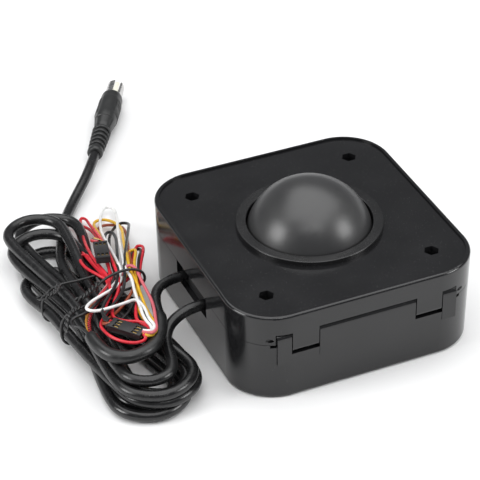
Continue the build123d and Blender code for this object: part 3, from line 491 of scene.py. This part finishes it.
wire_colours = {
    "red": insulation("red_wire", (0.62, 0.02, 0.035)),
    "white": insulation("white_wire", (0.78, 0.78, 0.77)),
    "yellow": insulation("yellow_wire", (0.72, 0.42, 0.02)),
    "black": insulation("black_wire", (0.014, 0.014, 0.015)),
    "brown": insulation("brown_wire", (0.3, 0.055, 0.02)),
    "pink": insulation("pink_wire", (0.6, 0.13, 0.16)),
}
out_of_sleeve = [(-107.6, -12.0, 21.8), (-106.0, -3.0, 22.2), (-100.0, 6.5, 21.4), (-92.5, 14.5, 20.9)]
out_low = [(-107.6, -12.0, 21.4), (-106.8, -2.0, 21.0), (-101.5, 8.0, 20.4), (-94.0, 16.0, 20.0)]
wires = [
    ("red_left", "red", out_low + [
        (-85.9, 22.0, 20.8), (-88.5, 35.1, 21.6), (-86.6, 57.6, 14.3), (-85.0, 77.5, 7.2),
        (-83.9, 93.1, 2.2), (-80.9, 97.6, 2.2), (-76.2, 95.0, 2.7), (-73.1, 87.6, 4.7),
        (-75.2, 67.6, 12.1), (-80.7, 41.7, 21.5), (-84.5, 26.6, 22.6), (-87.9, 19.0, 23.0),
        (-89.6, 11.3, 23.3), (-94.7, 4.8, 23.3), (-97.0, -1.0, 23.4), (-99.2, -6.0, 24.8),
        (-97.9, -10.4, 26.2)]),
    ("red_peak", "red", out_of_sleeve + [
        (-85.7, 21.0, 22.4), (-87.5, 37.7, 23.0), (-84.2, 59.1, 16.0), (-80.2, 75.6, 9.9),
        (-75.5, 91.9, 3.9), (-73.0, 100.2, 2.6), (-71.0, 97.0, 3.4), (-72.6, 88.4, 6.3),
        (-74.6, 69.1, 13.1), (-79.1, 44.2, 22.2), (-81.6, 28.6, 24.4), (-82.7, 20.0, 24.2),
        (-85.9, 12.4, 22.8), (-90.8, 5.7, 22.8), (-95.5, -3.9, 22.7), (-91.2, -9.4, 23.2),
        (-84.8, -13.6, 24.1), (-82.6, -20.0, 24.6), (-85.0, -25.0, 25.6), (-88.4, -23.4, 26.1)]),
    ("red_low_loop", "red", out_of_sleeve + [
        (-86.1, 22.9, 21.2), (-89.7, 30.4, 21.3), (-92.4, 37.5, 20.8), (-90.8, 50.4, 16.3),
        (-88.2, 54.5, 15.5), (-86.2, 50.0, 17.5), (-88.5, 38.5, 21.1), (-86.5, 26.1, 22.6),
        (-84.0, 17.0, 21.6), (-88.0, 8.0, 21.4), (-95.0, 2.0, 21.3), (-101.2, -5.0, 22.0),
        (-101.8, -11.1, 22.8), (-100.1, -17.6, 22.9), (-96.2, -22.6, 22.9), (-91.5, -26.0, 23.4),
        (-87.4, -26.4, 25.0), (-88.6, -24.2, 26.2)]),
    ("white_peak", "white", out_of_sleeve + [
        (-80.1, 21.8, 23.8), (-79.1, 32.3, 24.2), (-76.1, 51.0, 18.9), (-72.2, 71.9, 11.3),
        (-65.9, 92.7, 3.7), (-59.4, 104.6, 2.6), (-55.6, 101.0, 2.8), (-57.0, 92.9, 4.0),
        (-64.2, 71.8, 11.2), (-73.7, 41.9, 22.1), (-78.4, 24.3, 24.6), (-77.7, 17.4, 24.5),
        (-80.1, 8.6, 24.3), (-81.9, -2.1, 24.7), (-84.0, -13.5, 25.1), (-83.0, -20.6, 25.4),
        (-85.4, -24.4, 26.0), (-88.4, -22.9, 26.3)]),
    ("white_front", "white", out_low + [
        (-86.5, 21.5, 21.6), (-81.5, 24.5, 22.2), (-80.8, 20.5, 23.0), (-86.5, 14.0, 24.0),
        (-94.3, 10.8, 24.3), (-100.6, 7.6, 24.8), (-104.8, 3.4, 25.2), (-101.5, -0.8, 25.6),
        (-93.5, -0.9, 25.7), (-87.5, 0.2, 25.3), (-81.4, 2.0, 24.6), (-80.6, -6.0, 24.6),
        (-82.2, -14.0, 25.3), (-81.6, -20.4, 25.9), (-84.6, -24.8, 26.4), (-88.0, -22.4, 26.5)]),
    ("yellow_back", "yellow", out_low + [
        (-80.4, 23.0, 21.4), (-77.0, 44.5, 19.6), (-72.7, 70.9, 10.7), (-70.0, 91.0, 3.2),
        (-66.4, 95.6, 2.4), (-61.4, 91.8, 3.5), (-61.0, 74.5, 10.2), (-67.8, 54.8, 17.5),
        (-73.8, 33.7, 23.4), (-76.3, 22.5, 23.6), (-76.8, 14.1, 23.9), (-78.3, 5.8, 24.0),
        (-80.2, -6.0, 24.0), (-80.6, -15.0, 24.6), (-81.0, -21.5, 24.9), (-84.6, -25.8, 25.7),
        (-88.8, -24.0, 26.0)]),
    ("brown_back", "brown", out_low + [
        (-81.4, 24.3, 20.2), (-77.0, 49.0, 16.6), (-72.5, 74.4, 7.7), (-69.1, 88.2, 2.6),
        (-64.4, 90.6, 2.2), (-59.0, 85.0, 3.9), (-59.8, 73.7, 8.8), (-66.1, 53.1, 16.1),
        (-72.2, 34.7, 22.0), (-74.6, 21.2, 22.2), (-79.5, 11.0, 22.4), (-87.0, 3.6, 21.6),
        (-94.0, -1.5, 21.5), (-99.8, -5.5, 22.8), (-101.0, -9.5, 24.8), (-98.4, -11.0, 26.0)]),
    ("black_back", "black", out_of_sleeve + [
        (-81.2, 23.7, 20.6), (-77.1, 45.3, 17.6), (-70.8, 66.6, 10.7), (-64.5, 80.0, 5.4),
        (-58.6, 85.6, 4.8), (-55.4, 80.6, 6.9), (-59.4, 70.1, 12.2), (-69.0, 47.4, 20.2),
        (-76.3, 30.7, 24.0), (-79.6, 20.9, 24.6), (-83.4, 12.0, 23.8), (-90.0, 4.0, 24.6),
        (-97.0, -2.0, 24.8), (-100.6, -6.4, 25.2), (-98.8, -10.2, 26.4)]),
    ("black_side", "black", out_low + [
        (-76.2, 23.3, 20.2), (-72.5, 34.0, 20.9), (-66.6, 45.7, 16.9), (-63.4, 46.4, 16.8),
        (-63.6, 42.4, 18.4), (-68.3, 33.6, 21.7), (-73.1, 21.5, 21.5), (-78.0, 9.0, 21.0),
        (-86.0, -1.0, 20.8), (-94.0, -7.0, 21.4), (-101.4, -10.0, 23.6), (-99.0, -11.8, 25.8)]),
    ("yellow_side", "yellow", out_of_sleeve + [
        (-75.8, 24.2, 21.4), (-73.4, 32.5, 22.0), (-69.8, 42.9, 19.4), (-66.8, 42.6, 20.0),
        (-67.6, 38.4, 21.6), (-72.3, 29.0, 23.0), (-74.9, 19.8, 23.2), (-78.0, 10.0, 22.6),
        (-82.0, 0.0, 22.2), (-83.6, -10.0, 22.8), (-81.6, -18.5, 23.4), (-83.6, -25.6, 24.4),
        (-88.4, -25.0, 25.8)]),
    ("red_side", "red", out_of_sleeve + [
        (-74.6, 22.9, 20.4), (-71.2, 33.1, 20.4), (-64.6, 47.9, 17.6), (-61.6, 46.4, 18.0),
        (-63.0, 41.0, 19.6), (-68.6, 30.2, 21.3), (-73.5, 19.8, 21.3), (-78.4, 8.0, 21.6),
        (-83.5, -2.1, 22.8), (-86.9, -11.0, 23.4), (-84.0, -17.5, 23.8), (-84.4, -23.8, 24.8),
        (-88.2, -23.9, 25.7)]),
    ("pink_side", "pink", out_low + [
        (-80.6, 22.0, 22.8), (-76.6, 27.0, 24.4), (-73.6, 24.4, 24.8), (-74.2, 17.6, 24.4),
        (-75.0, 9.2, 24.2), (-75.6, -0.5, 24.1), (-77.2, -8.1, 24.5), (-80.0, -16.8, 25.3),
        (-81.8, -23.0, 25.8), (-85.4, -26.0, 26.4), (-88.6, -23.2, 26.6)]),
    ("black_crook", "black", out_of_sleeve + [
        (-82.6, 22.7, 23.0), (-79.7, 41.3, 21.1), (-73.6, 64.1, 13.2), (-69.4, 74.7, 9.1),
        (-66.6, 73.4, 10.0), (-68.2, 63.1, 13.6), (-74.8, 43.9, 21.0), (-80.1, 27.9, 24.2),
        (-85.0, 16.0, 24.6), (-92.0, 8.0, 25.2), (-97.6, 1.0, 25.6), (-99.8, -5.4, 25.8),
        (-98.1, -9.8, 26.6)]),
    ("black_loop", "black", [
        (-107.6, -12.0, 21.4), (-108.2, -4.0, 21.6), (-112.4, 0.2, 20.6), (-110.6, 5.2, 20.6),
        (-103.3, 4.8, 21.6), (-97.0, 9.0, 22.6), (-89.0, 16.0, 22.0), (-83.0, 23.0, 22.2),
        (-80.0, 36.0, 20.6), (-77.0, 50.0, 18.0), (-76.0, 60.0, 15.6), (-79.6, 63.4, 15.8),
        (-81.4, 57.0, 20.0), (-80.9, 49.6, 24.0)]),
    ("red_to_back", "red", out_low + [
        (-84.6, 22.0, 22.4), (-83.0, 34.0, 21.2), (-79.4, 48.0, 18.4), (-77.6, 58.0, 15.8),
        (-80.4, 62.0, 16.4), (-82.4, 56.6, 20.2), (-81.6, 49.4, 23.9)]),
    ("yellow_to_back", "yellow", out_low + [
        (-82.6, 22.0, 21.4), (-80.4, 36.0, 20.0), (-75.4, 52.0, 16.6), (-74.6, 61.0, 13.8),
        (-77.8, 65.4, 14.0), (-80.2, 59.0, 19.2), (-80.2, 49.8, 23.7)]),
]
wire_cords = {}
for name, colour, route in wires:
    wire_cords[name] = laid_cord("wire_" + name, route, 1.4, wire_colours[colour])
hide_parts("wire_fold_front", "wire_fold_back")

# ---- Crimp housings ----
# Two black nylon blocks on the conductors' crimped ends. Each has rows of latch windows with
# gold-flashed tongues in them, and the tips of the contacts stand out of one end.


def block(mesh, low, high, bevel):
    """Adds a box between two corners to a bmesh, with its edges eased."""
    made = bmesh.ops.create_cube(mesh, size=1.0)["verts"]
    size = Vector(high) - Vector(low)
    for vertex in made:
        vertex.co = Vector(low) + Vector(
            (part + 0.5) * whole for part, whole in zip(vertex.co, size))
    edges = {edge for vertex in made for edge in vertex.link_edges}
    bmesh.ops.bevel(mesh, geom=list(edges), offset=bevel, segments=2, affect="EDGES", profile=0.7)


def shaped(name, mesh, seat, material):
    """A plain mesh piece from a bmesh in millimetres, carried to its seat and riding on the base."""
    bmesh.ops.recalc_face_normals(mesh, faces=mesh.faces)
    data = bpy.data.meshes.new(name)
    mesh.to_mesh(data)
    mesh.free()
    data.transform(Matrix.Scale(MM, 4) @ seat)
    data.materials.append(material)
    for face in data.polygons:
        face.use_smooth = True
    piece = bpy.data.objects.new(name, data)
    bpy.context.scene.collection.objects.link(piece)
    with bpy.context.temp_override(object=piece, active_object=piece, selected_objects=[piece],
                                   selected_editable_objects=[piece]):
        bpy.ops.object.shade_smooth_by_angle(angle=radians(35.0))
    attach(piece, "base")
    return piece


def seat_at(middle, along):
    """A seat with its first axis along a direction and its third as near up as it can be."""
    first = Vector(along).normalized()
    second = Vector((0.0, 0.0, 1.0)).cross(first).normalized()
    return Matrix.Translation(middle) @ Matrix((first, second, first.cross(second))).transposed().to_4x4()


def crimp_housing(node, middle, along, length, ways):
    """The block, cut across by window rows, and the tongues that show in its windows."""
    seat = seat_at(middle, along)
    body = bmesh.new()
    half = length / 2
    side = 3.2
    bottom, deck, top = -1.5, 0.4, 1.5
    block(body, (-half, -side, bottom), (half, side, 0.55), 0.25)
    pitch = 5.6 / ways
    edges = [-side + 0.4 + pitch * way for way in range(ways + 1)]
    block(body, (-half, -side, deck), (-half + 2.2, side, top), 0.2)
    block(body, (-half + 5.0, -side, deck), (half - 4.6, side, top), 0.2)
    block(body, (half - 2.0, -side, deck), (half, side, top), 0.2)
    for edge in edges:
        block(body, (-half + 0.3, edge - 0.35, deck), (half - 0.3, edge + 0.35, 1.42), 0.1)
    housing = shaped(node + "_block", body, seat, housing_nylon)
    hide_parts(node)
    tongues = bmesh.new()
    for edge, next_edge in zip(edges, edges[1:]):
        middle_way = (edge + next_edge) / 2
        block(tongues, (-half + 2.6, middle_way - 0.45, 0.5), (-half + 4.6, middle_way + 0.45, 0.95), 0.08)
        block(tongues, (half - 4.3, middle_way - 0.45, 0.5), (half - 2.3, middle_way + 0.45, 0.95), 0.08)
        block(tongues, (half - 1.2, middle_way - 0.4, -0.6), (half + 0.5, middle_way + 0.4, 0.1), 0.08)
    contacts = shaped(node + "_contacts", tongues, seat, gold_flash)
    return housing, contacts


housing_nylon = moulded_plastic("housing_nylon", (0.014, 0.014, 0.015), 0.38, 0.00001, 0.1)
gold_flash = drawn_metal("gold_flash", (0.83, 0.58, 0.22), 0.24, 900.0, (1.0, 1.0, 1.0))
front_block, front_contacts = crimp_housing(
    "front_connector", (-93.0, -16.5, 24.7), (11.0, -13.6, 0.0), 16.0, 3)
back_block, back_contacts = crimp_housing(
    "back_connector", (-83.2, 40.2, 24.9), (5.3, 19.5, -4.6), 19.0, 3)

for name, colour, route in wires:
    wire = wire_cords[name]
    line = centre_line(wire)
harness_line = centre_line(harness_cord)

# ---- Ties ----
# Black PVC ties with a wire core: two round the waist of the hank, and one round the conductors.
# Each is a loop whose ends are twisted together.


def tie(name, ring, tail, twists):
    """A closed loop and a tail of two strands twisted round each other, as one mesh."""
    wire_radius = 0.62
    curve = bpy.data.curves.new(name, "CURVE")
    curve.dimensions = "3D"
    loop = curve.splines.new("NURBS")
    loop.points.add(len(ring) - 1)
    for point, place in zip(loop.points, ring):
        point.co = (*(MM * part for part in place), 1.0)
    loop.use_cyclic_u = True
    loop.order_u = 3
    middle = bpy.data.curves.new(name + "_tail", "CURVE")
    middle.dimensions = "3D"
    run = middle.splines.new("NURBS")
    run.points.add(len(tail) - 1)
    for point, place in zip(run.points, tail):
        point.co = (*(MM * part for part in place), 1.0)
    run.order_u = 3
    run.use_endpoint_u = True
    run.resolution_u = 12
    carrier = bpy.data.objects.new(name + "_tail", middle)
    bpy.context.scene.collection.objects.link(carrier)
    line = centre_line(carrier)
    bpy.data.objects.remove(carrier)
    for side in (0.0, pi):
        strand = curve.splines.new("POLY")
        strand.points.add(len(line) - 1)
        for step, (point, place) in enumerate(zip(strand.points, line)):
            ahead = (line[min(step + 1, len(line) - 1)] - line[max(step - 1, 0)]).normalized()
            across = ahead.cross(Vector((0.0, 0.0, 1.0))).normalized()
            turn = side + 2 * pi * twists * step / len(line)
            offset = (across * cos(turn) + across.cross(ahead) * sin(turn)) * wire_radius * MM
            point.co = (*(place + offset), 1.0)
    curve.bevel_depth = wire_radius * MM
    curve.bevel_resolution = 3
    curve.use_fill_caps = True
    curve.materials.append(tie_pvc)
    made = bpy.data.objects.new(name + "_curve", curve)
    bpy.context.scene.collection.objects.link(made)
    bpy.context.view_layer.update()
    mesh = bpy.data.meshes.new_from_object(
        made.evaluated_get(bpy.context.evaluated_depsgraph_get()))
    bpy.data.objects.remove(made)
    piece = bpy.data.objects.new(name, mesh)
    bpy.context.scene.collection.objects.link(piece)
    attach(piece, "base")
    return piece


tie_pvc = cable_jacket("tie_pvc", (0.013, 0.013, 0.0135), 0.28)
back_tie = tie("back_tie", [
    (-115.6, 31.0, 4.0), (-115.4, 31.0, 15.0), (-109.0, 31.0, 20.6), (-97.0, 31.0, 19.6),
    (-85.0, 31.0, 20.4), (-79.0, 31.0, 16.0), (-79.2, 31.0, 4.0), (-84.0, 31.0, 0.5),
    (-110.0, 31.0, 0.5)],
    [(-107.0, 31.0, 20.2), (-110.2, 25.3, 21.4), (-114.4, 22.5, 21.9), (-119.0, 25.2, 20.5)], 4.0)
tie("front_tie", [
    (-113.4, 12.0, 4.0), (-113.4, 12.0, 15.0), (-107.0, 12.0, 20.4), (-95.0, 12.0, 19.6),
    (-84.0, 12.0, 20.4), (-77.6, 12.0, 16.0), (-77.6, 12.0, 4.0), (-83.0, 12.0, 0.5),
    (-108.0, 12.0, 0.5)],
    [(-103.4, 12.0, 20.4), (-108.0, 9.4, 21.6), (-112.6, 5.3, 20.9), (-115.2, -1.0, 18.5)], 4.0)
tie("wire_tie", [
    (-94.6, 17.8, 19.9), (-93.8, 18.4, 24.6), (-85.0, 20.4, 27.0), (-76.0, 20.8, 26.6),
    (-71.4, 18.8, 24.6), (-71.6, 17.2, 19.9), (-79.0, 16.6, 19.2), (-88.0, 16.8, 19.2)],
    [(-92.8, 18.2, 25.4), (-97.6, 15.0, 25.6), (-101.8, 12.2, 24.4), (-105.6, 13.6, 23.0)], 3.5)
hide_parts("hank_ties")

# ---- Plug ----
# Six-way mini-DIN plug. A ribbed strain relief and a tapered grip are overmoulded in soft black
# PVC round a nickel-plated shell with a slot along it, over a white nylon insert.
plug_seat = seat_at((-17.0, 199.3, 6.3), (-cos(radians(59.8)), -sin(radians(59.8)), 0.0))


def turned(profile, facets=48, rounds=None):
    """A bmesh turned round its first axis from places along it and radii, closed at both ends."""
    mesh = bmesh.new()
    rings = []
    for along, radius in profile:
        ring = []
        for step in range(facets):
            angle = 2 * pi * step / facets
            reach = radius * (rounds(along, angle) if rounds else 1.0)
            ring.append(mesh.verts.new((along, reach * cos(angle), reach * sin(angle))))
        rings.append(ring)
    for first, second in zip(rings, rings[1:]):
        for step in range(facets):
            after = (step + 1) % facets
            mesh.faces.new((first[step], first[after], second[after], second[step]))
    mesh.faces.new(rings[0])
    mesh.faces.new(rings[-1][::-1])
    return mesh


rib_start, rib_end, rib_width = 17.0, 31.0, 0.7


def grip(along, angle):
    """Flats on the sides of the grip, cross-ribbed in two patches, and a step at its neck."""
    side = abs(cos(angle))
    flat = 1.0 - 0.085 * max(0.0, side - 0.55) / 0.45
    if rib_start < along < rib_end and side > 0.66:
        flat += 0.05 if int((along - rib_start) / rib_width) % 2 else 0.0
    if along > 35.0 and sin(angle) > 0.5:
        flat -= 0.05
    return flat


plug_pvc = cable_jacket("plug_pvc", (0.017, 0.0175, 0.0175), 0.36)
grip_places = [(11.0, 3.5), (11.0, 4.9), (11.35, 5.55), (12.2, 5.95), (13.4, 6.1), (16.9, 6.12)]
grip_places += [(rib_start + rib_width / 2 * step, 6.14) for step in range(41)]
grip_places += [(32.0, 6.1), (33.6, 5.95), (35.0, 5.7), (35.2, 5.7), (37.0, 5.35), (39.4, 4.95),
                (41.2, 4.6), (42.0, 4.1), (42.0, 3.0)]
plug_grip = shaped("plug_grip", turned(grip_places, 64, grip), plug_seat, plug_pvc)
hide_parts("plug_body")
relief_core = turned([(41.5, 2.6), (41.5, 3.9), (44.0, 3.55), (52.0, 3.35), (60.4, 3.2), (60.6, 3.75),
                      (61.0, 4.0), (63.2, 3.9), (63.7, 3.6), (64.0, 3.1), (64.0, 2.6)])
plug_neck = shaped("plug_neck", relief_core, plug_seat, plug_pvc)
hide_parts("plug_relief")

relief_sizes = {"Rings": 5, "First ring": 0.0438, "Pitch": 0.0035, "Radius": 0.0039,
                "Narrowing": 0.00011, "Ring thickness": 0.00085, "Material": plug_pvc}
ribs = Pattern("relief_ribs", relief_sizes)
ring_places = ribs.node("GeometryNodeMeshLine", {"mode": "OFFSET"}, {
    "Count": ribs.size("Rings"),
    "Start Location": ribs.node("ShaderNodeCombineXYZ", {}, {"X": ribs.size("First ring")}),
    "Offset": ribs.node("ShaderNodeCombineXYZ", {}, {"X": ribs.size("Pitch")})})
hoop = ribs.node("GeometryNodeCurvePrimitiveCircle", {}, {"Resolution": 40, "Radius": ribs.size("Radius")})
section = ribs.node("GeometryNodeCurvePrimitiveCircle", {}, {
    "Resolution": 12, "Radius": ribs.size("Ring thickness")})
ring_shape = ribs.node("GeometryNodeCurveToMesh", {}, {"Curve": hoop, "Profile Curve": section})
ring_shape = ribs.node("GeometryNodeTransform", {}, {"Geometry": ring_shape, "Rotation": (0.0, pi / 2, 0.0)})
which = ribs.node("GeometryNodeInputIndex", {}, {})
share = ribs.node("ShaderNodeMath", {"operation": "DIVIDE"}, {
    0: ribs.size("Narrowing"), 1: ribs.size("Radius")})
shrink = ribs.node("ShaderNodeMath", {"operation": "MULTIPLY"}, {0: which, 1: share})
size = ribs.node("ShaderNodeMath", {"operation": "SUBTRACT"}, {0: 1.0, 1: shrink})
rings_placed = ribs.node("GeometryNodeInstanceOnPoints", {}, {
    "Points": ring_places, "Instance": ring_shape, "Scale": size})
ribs.end(ribs.node("GeometryNodeSetShadeSmooth", {}, {0: rings_placed}))
plug_ribs = ribs.made_on("plug_ribs", bpy.data.meshes.new("plug_ribs_place"))
plug_ribs.data.transform(Matrix.Scale(MM, 4) @ plug_seat @ Matrix.Scale(1 / MM, 4))
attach(plug_ribs, "base")

nickel = drawn_metal("nickel_plate", (0.66, 0.65, 0.64), 0.18, 700.0, (1.0, 1.0, 0.3))


def slotted_shell():
    """A thin tube with a slot along its upper side, as a closed wall."""
    mesh = bmesh.new()
    steps = 56
    outside, inside, tip, root = 4.5, 4.1, 0.0, 11.4
    rows = []
    for radius in (outside, inside):
        for along in (tip, root):
            rows.append([mesh.verts.new((along, radius * cos(angle), radius * sin(angle)))
                         for angle in (radians(70.0 - 0.5 * slot_angle - step * (360.0 - slot_angle) / steps)
                                       for step in range(steps + 1))])
    outer_tip, outer_root, inner_tip, inner_root = rows
    for step in range(steps):
        for first, second in ((outer_tip, outer_root), (outer_root, inner_root),
                              (inner_root, inner_tip), (inner_tip, outer_tip)):
            mesh.faces.new((first[step], first[step + 1], second[step + 1], second[step]))
    for end in (0, steps):
        mesh.faces.new((outer_tip[end], outer_root[end], inner_root[end], inner_tip[end]))
    return mesh


slot_angle = 40.0
shell_tube = shaped("shell_tube", slotted_shell(), plug_seat, nickel)
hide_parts("plug_shell")
slot_strip = bmesh.new()
block(slot_strip, (0.7, -1.15, 2.9), (11.2, 1.15, 4.15), 0.2)
strip_seat = plug_seat @ Matrix.Rotation(radians(-20.0), 4, "X")
insert_strip = shaped("insert_strip", slot_strip, strip_seat, header_nylon)
dress("plug_insert", header_nylon)
dress("plug_pins", gold_flash)

ps2_line = centre_line(ps2_cord)

# ---- Studio ----
# A pale floor, one large soft light overhead, and a soft box to each side.
floor_mesh = bpy.data.meshes.new("floor")
floor_mesh.from_pydata([(-4, -4, 0), (4, -4, 0), (4, 4, 0), (-4, 4, 0)], [], [(0, 1, 2, 3)])
floor = bpy.data.objects.new("floor", floor_mesh)
floor.location.z = -0.0002
bpy.context.scene.collection.objects.link(floor)
paper = Finish("floor_paper", (0.86, 0.86, 0.86), 0.7)
floor_mesh.materials.append(paper.material)

world = bpy.data.worlds.new("studio")
bpy.context.scene.world = world
world.use_nodes = True
world.node_tree.nodes["Background"].inputs["Color"].default_value = (0.55, 0.56, 0.58, 1.0)
world.node_tree.nodes["Background"].inputs["Strength"].default_value = 0.4


def soft_box(name, place, aim, size, power):
    lamp = bpy.data.lights.new(name, "AREA")
    lamp.shape = "RECTANGLE"
    lamp.size, lamp.size_y = size
    lamp.energy = power
    light = bpy.data.objects.new(name, lamp)
    light.location = place
    light.rotation_euler = (Vector(aim) - Vector(place)).to_track_quat("-Z", "Y").to_euler()
    bpy.context.scene.collection.objects.link(light)


soft_box("overhead", (0.1, 0.1, 1.5), (0.0, 0.0, 0.0), (2.2, 2.2), 32.0)
soft_box("front_strip", (-0.3, -0.72, 1.0), (0.0, 0.0, 0.04), (0.9, 0.04), 1.3)
soft_box("left_box", (-0.75, 0.02, 0.36), (0.0, 0.0, 0.04), (0.34, 0.34), 3.2)
soft_box("right_box", (0.62, -0.5, 0.42), (0.0, 0.0, 0.04), (0.34, 0.34), 3.0)

# ---- Camera ----
# A long lens from the front left, looking down at about 35 degrees.
eye = bpy.data.cameras.new("eye")
eye.sensor_width = 36.0
eye.lens = 155.2
eye.clip_end = 20.0
camera = bpy.data.objects.new("camera", eye)
right = Vector((0.91634, -0.40026, -0.01043))
up = Vector((0.23939, 0.52680, 0.81558))
camera.matrix_world = Matrix.Translation((-0.32162, -0.67358, 0.56248)) @ Matrix(
    (right, up, right.cross(up))).transposed().to_4x4()
bpy.context.scene.collection.objects.link(camera)
bpy.context.scene.camera = camera
bpy.context.scene.view_settings.view_transform = "Standard"
